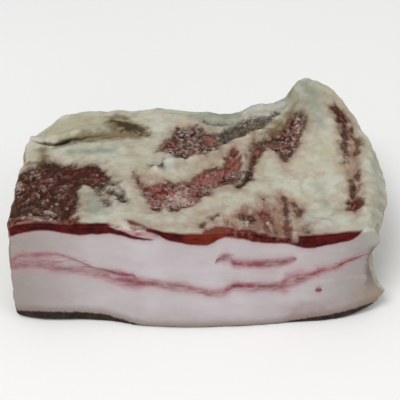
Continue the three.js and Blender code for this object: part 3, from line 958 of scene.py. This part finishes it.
def lean_colour(ground, upper, under):
    """Lean, strands of it in the fat and grey lean, stained and salted, with painted shade under the flap and
    in the crevice, over the colour under them.
    """
    small, medium, proud = ground.small, ground.medium, ground.mark("proud")
    strand = ground.noise(2.4, 3, (0.8, 2.4, 1.0), 17)
    flesh = flesh_colour(ground, strand)
    depth = ground.mark("lean") + (medium - 0.5) * 6 + (small - 0.5) * 3 - proud * 0.8
    lean = depth.rise(-2.6, 2.2) * upper
    wash = (ground.mark("wash") + (medium - 0.5) * 9).rise(-4, 6) * upper
    colour = (wash * (0.1 + small * 0.9)).blend(under, srgb(158, 113, 102))
    fringe = ground.noise(3.4, 4, (1.0, 2.6, 1.6), 37).rise(0.4, 0.62)
    colour = (wash * fringe * 0.8).blend(colour, srgb(106, 58, 51))
    soaked = depth.rise(-9, 0) * upper * (0.15 + medium * 0.7)
    colour = soaked.blend(colour, srgb(150, 124, 104))
    colour = lean.blend(colour, flesh)
    rim = depth.rise(-0.8, 0.8) * depth.rise(4, 1.2) * upper * medium.rise(0.4, 0.6)
    colour = (rim * 0.6).blend(colour, srgb(58, 38, 28))
    grey = ground.mark("grey") + (medium - 0.5) * 7 + (small - 0.5) * 4
    ashen = medium.rise(0.4, 0.6).blend(srgb(94, 86, 73), srgb(120, 110, 106))
    # Grey lean mottled, with painted highlight where it stands proud
    grey_flesh = (small * 0.6 + medium * 0.2 + proud * 0.2).rise(0.32, 0.54).blend(srgb(44, 37, 27), ashen)
    grey = grey.rise(-2.4, 2) * upper * 0.95
    colour = stained_and_shaded_colour(ground, upper, grey.blend(colour, grey_flesh))
    share = ground.mark("share") * lean | grey * 0.15
    return salted_colour(ground, share, colour), lean, strand


def slab_finish():
    """Fat, lean, rind and salt, each where the slab has it."""
    material, shader, tree = new_finish("cured_pork")
    ground = Ground(tree)
    cut, upper = ground.mark("cut"), ground.mark("upper")
    fat = fat_colour(ground, cut, upper)
    layered, streak, band = layered_colour(ground, cut, upper, fat)
    topped, lean, strand = lean_colour(ground, upper, layered)
    colour, red = edge_colour(ground, cut, band, topped)
    back = ground.mark("off_cut").rise(0, BACK_REACH)
    thickness = ground.along(RIND_THICKNESS, RIND_SCALE) + back * 1.2
    rind_depth = thickness + (ground.small - 0.5) * 2.5 - ground.mark("off_rind")
    rind_grain = (ground.medium * 0.5 + ground.small * 0.5).rise(0.35, 0.65)
    colour = (rind_depth.rise(-6, -0.5) * 0.6).blend(colour, srgb(122, 102, 94))
    colour = rind_depth.rise(-0.8, 0.6).blend(colour, rind_grain.blend(srgb(24, 17, 13), srgb(54, 40, 30)))

    height = ground.fine * 0.2 + ground.small * 0.4 - streak * 0.3 + strand * lean * 0.5
    bump = {"Strength": 0.5, "Distance": 0.4 * MM, "Height": height * (1 - cut * 0.75)}
    varying = {
        "Base Color": colour,
        "Roughness": 0.72 - cut * 0.28 + ground.fine * 0.1,
        "Coat Weight": cut * (1 - red) * 0.12,
        "Normal": ground.start.node("ShaderNodeBump", None, bump),
    }
    even = {
        "Specular IOR Level": 0.06,
        "Coat Roughness": 0.35,
        "Subsurface Weight": 0.06,
        "Subsurface Radius": (1.0, 0.45, 0.3),
        "Subsurface Scale": 1.2 * MM,
    }
    connect(shader, varying, even)
    return material


def salt_finish():
    """Dull white salt, some of it stained by the lean."""
    material, shader, tree = new_finish("salt")
    ground = Ground(tree)
    colour = ground.mark("stained").blend(srgb(174, 163, 155), srgb(114, 90, 82))
    colour = (ground.small.rise(0.4, 0.6) * 0.4).blend(colour, srgb(148, 134, 124))
    even = {
        "Specular IOR Level": 0.25,
        "Subsurface Weight": 0.3,
        "Subsurface Radius": (1.0, 0.9, 0.8),
        "Subsurface Scale": 0.6 * MM,
    }
    connect(shader, {"Base Color": colour, "Roughness": 0.4 + ground.fine * 0.3}, even)
    return material


def speck():
    """One speck of fine salt a millimetre wide, to be drawn out and shrunk."""
    bpy.ops.object.select_all(action="DESELECT")
    bpy.ops.mesh.primitive_cube_add(size=MM)
    return bpy.context.object


def crystal():
    """One crystal of salt a millimetre wide, a cube with its edges worn."""
    grain = speck()
    bpy.ops.object.mode_set(mode="EDIT")
    bpy.ops.mesh.select_all(action="SELECT")
    bpy.ops.mesh.bevel(offset=CRYSTAL_WEAR * MM, segments=1, affect="EDGES")
    bpy.ops.mesh.quads_convert_to_tris()
    bpy.ops.object.mode_set(mode="OBJECT")
    return grain


def scatter(name, grain, places, normals, sizes, stained, seed):
    """One mesh of many grains, each turned its own way, stained by what it lies on and sunk into it."""
    draw = np.random.default_rng(seed)
    corners = np.array([v.co for v in grain.data.vertices])
    faces = np.array([p.vertices[:] for p in grain.data.polygons])
    all_corners, all_faces = [], []
    for k, (place, normal, size) in enumerate(zip(places, normals, sizes)):
        turn = np.array(Euler(draw.uniform(0, GRAIN_TURN, 3)).to_matrix())
        shape = corners * (size * draw.uniform(*GRAIN_SIDES, 3))
        all_corners.append(shape @ turn.T + (place + normal * GRAIN_LIFT * size) * MM)
        all_faces.append(faces + k * len(corners))
    mesh = bpy.data.meshes.new(name)
    mesh.from_pydata(np.concatenate(all_corners).tolist(), [], np.concatenate(all_faces).tolist())
    piece = link(name, mesh)
    store(piece, "stained", np.repeat(stained + draw.uniform(*GRAIN_STAIN, len(places)), len(corners)))
    return piece


def clumps(plan_of, centres, sizes, draw):
    """Vertices and sizes of grains in clumps: a large one at each centre and two smaller ones by it."""
    chosen, grains = [], []
    for centre, size in zip(centres, sizes):
        spots = [centre, *(centre + draw.normal(0, CLUMP_REACH * size, (2, 2)))]
        chosen += [int(np.argmin(np.linalg.norm(plan_of - spot, axis=1))) for spot in spots]
        grains += [size, *(size * draw.uniform(*CLUMP_SHARES, 2))]
    return chosen, grains


def salt(slab, marks, grain_places):
    """Coarse grains in clumps where the slab's solid has them and round them, and fine salt on the lean."""
    draw = np.random.default_rng(SALT_SEED)
    places, normals = places_of(slab)
    upper = marks["upper"] * rise(marks["off_cut"], 4, 6) * rise(-marks["red_edge"], 0, 1)
    patchy = rise(lumps(places, 7, 21), -0.5, 0.5)
    lean = rise(marks["lean"], -1, 1.5) * marks["share"]
    grey = rise(marks["grey"], -1, 1)
    film = rise(marks["film"], -3, 3)
    redness = 0.1 + np.maximum(rise(marks["lean"], -2, 2), 0.5 * grey)
    coarse_like = upper * (lean * patchy + 0.3 * grey + 0.01 * film + 0.001)
    fine_like = upper * (lean * (0.2 + patchy) + 0.5 * grey + 0.03 * film)
    coarse = draw.choice(len(places), COARSE_COUNT, replace=False, p=coarse_like / coarse_like.sum())
    fine = draw.choice(len(places), FINE_COUNT, replace=False, p=fine_like / fine_like.sum())

    plan_of = np.where(upper[:, None] > 0.5, places[:, :2], 999)
    centres = np.concatenate([grain_places[:, :2], np.array(SALT_CLUMPS)])
    own_widths = draw.uniform(*GRAIN_WIDTHS, len(grain_places))
    clump_widths = draw.uniform(*CLUMP_WIDTHS, len(SALT_CLUMPS))
    chosen, sizes = clumps(plan_of, centres, np.concatenate([own_widths, clump_widths]), draw)
    chosen = np.concatenate([chosen, coarse]).astype(int)
    sizes = np.concatenate([sizes, COARSE_LEAST + COARSE_SPREAD * draw.random(len(coarse)) ** 2])
    fine_sizes = FINE_LEAST + FINE_SPREAD * draw.random(len(fine)) ** 2
    kinds = {
        "coarse_salt": (crystal(), chosen, sizes, COARSE_SEED),
        "fine_salt": (speck(), fine, fine_sizes, FINE_SEED),
    }
    pieces = []
    for name, (grain, at, widths, seed) in kinds.items():
        pieces.append(scatter(name, grain, places[at], normals[at], widths, redness[at], seed))
        bpy.data.objects.remove(grain)
    return pieces


def pale_floor():
    """A plain pale floor."""
    bpy.ops.object.select_all(action="DESELECT")
    bpy.ops.mesh.primitive_plane_add(size=FLOOR_WIDTH * MM)
    floor = bpy.context.object
    floor.name = "floor"
    material, shader, tree = new_finish("pale_floor")
    paleness = Ground(tree).noise(400, 2).rise(0.3, 0.7).blend(srgb(243, 243, 242), srgb(246, 246, 245))
    connect(shader, {"Base Color": paleness}, {"Roughness": 0.9})
    floor.data.materials.append(material)


def studio_light():
    """An even white sky and two soft lamps."""
    world = bpy.data.worlds.new("studio")
    world.use_nodes = True
    sky = world.node_tree.nodes["Background"]
    sky.inputs["Color"].default_value = (1, 1, 1, 1)
    sky.inputs["Strength"].default_value = SKY_STRENGTH
    bpy.context.scene.world = world
    for name, (place, width, watts) in LAMPS.items():
        light = bpy.data.lights.new(name, "AREA")
        light.size = width * MM
        light.energy = watts
        lamp = link(name, light)
        lamp.location = Vector(place) * MM
        lamp.rotation_euler = (Vector(LAMP_AIM) - Vector(place)).to_track_quat("-Z", "Y").to_euler()


def photo_camera():
    """The camera where the photograph's was."""
    camera = bpy.data.cameras.new("camera")
    camera.lens = CAMERA_LENS
    camera.sensor_width = CAMERA_SENSOR
    seer = link("camera", camera)
    angle = np.radians(CAMERA_ELEVATION)
    away = Vector((0, -np.cos(angle), np.sin(angle)))
    seer.location = (Vector(CAMERA_TARGET) + away * CAMERA_DISTANCE) * MM
    seer.rotation_euler = (-away).to_track_quat("-Z", "Y").to_euler()
    bpy.context.scene.camera = seer
    bpy.context.scene.view_settings.view_transform = "Standard"


slab, grain_places = slab_copy()
marks = slab_marks(slab)
carve(slab, marks)
# How far each place stands proud sets the finish's painted shade and painted highlight
marks["proud"] = proudness(slab, LUMP_ROUNDS)
marks["swell"] = proudness(slab, SWELL_ROUNDS)
for name, values in marks.items():
    store(slab, name, values)
slab.data.materials.append(slab_finish())
salt_crystals = salt_finish()
for piece in salt(slab, marks, grain_places):
    piece.data.materials.append(salt_crystals)
    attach(piece, "root")
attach(slab, "root")
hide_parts(NODE)
pale_floor()
studio_light()
photo_camera()
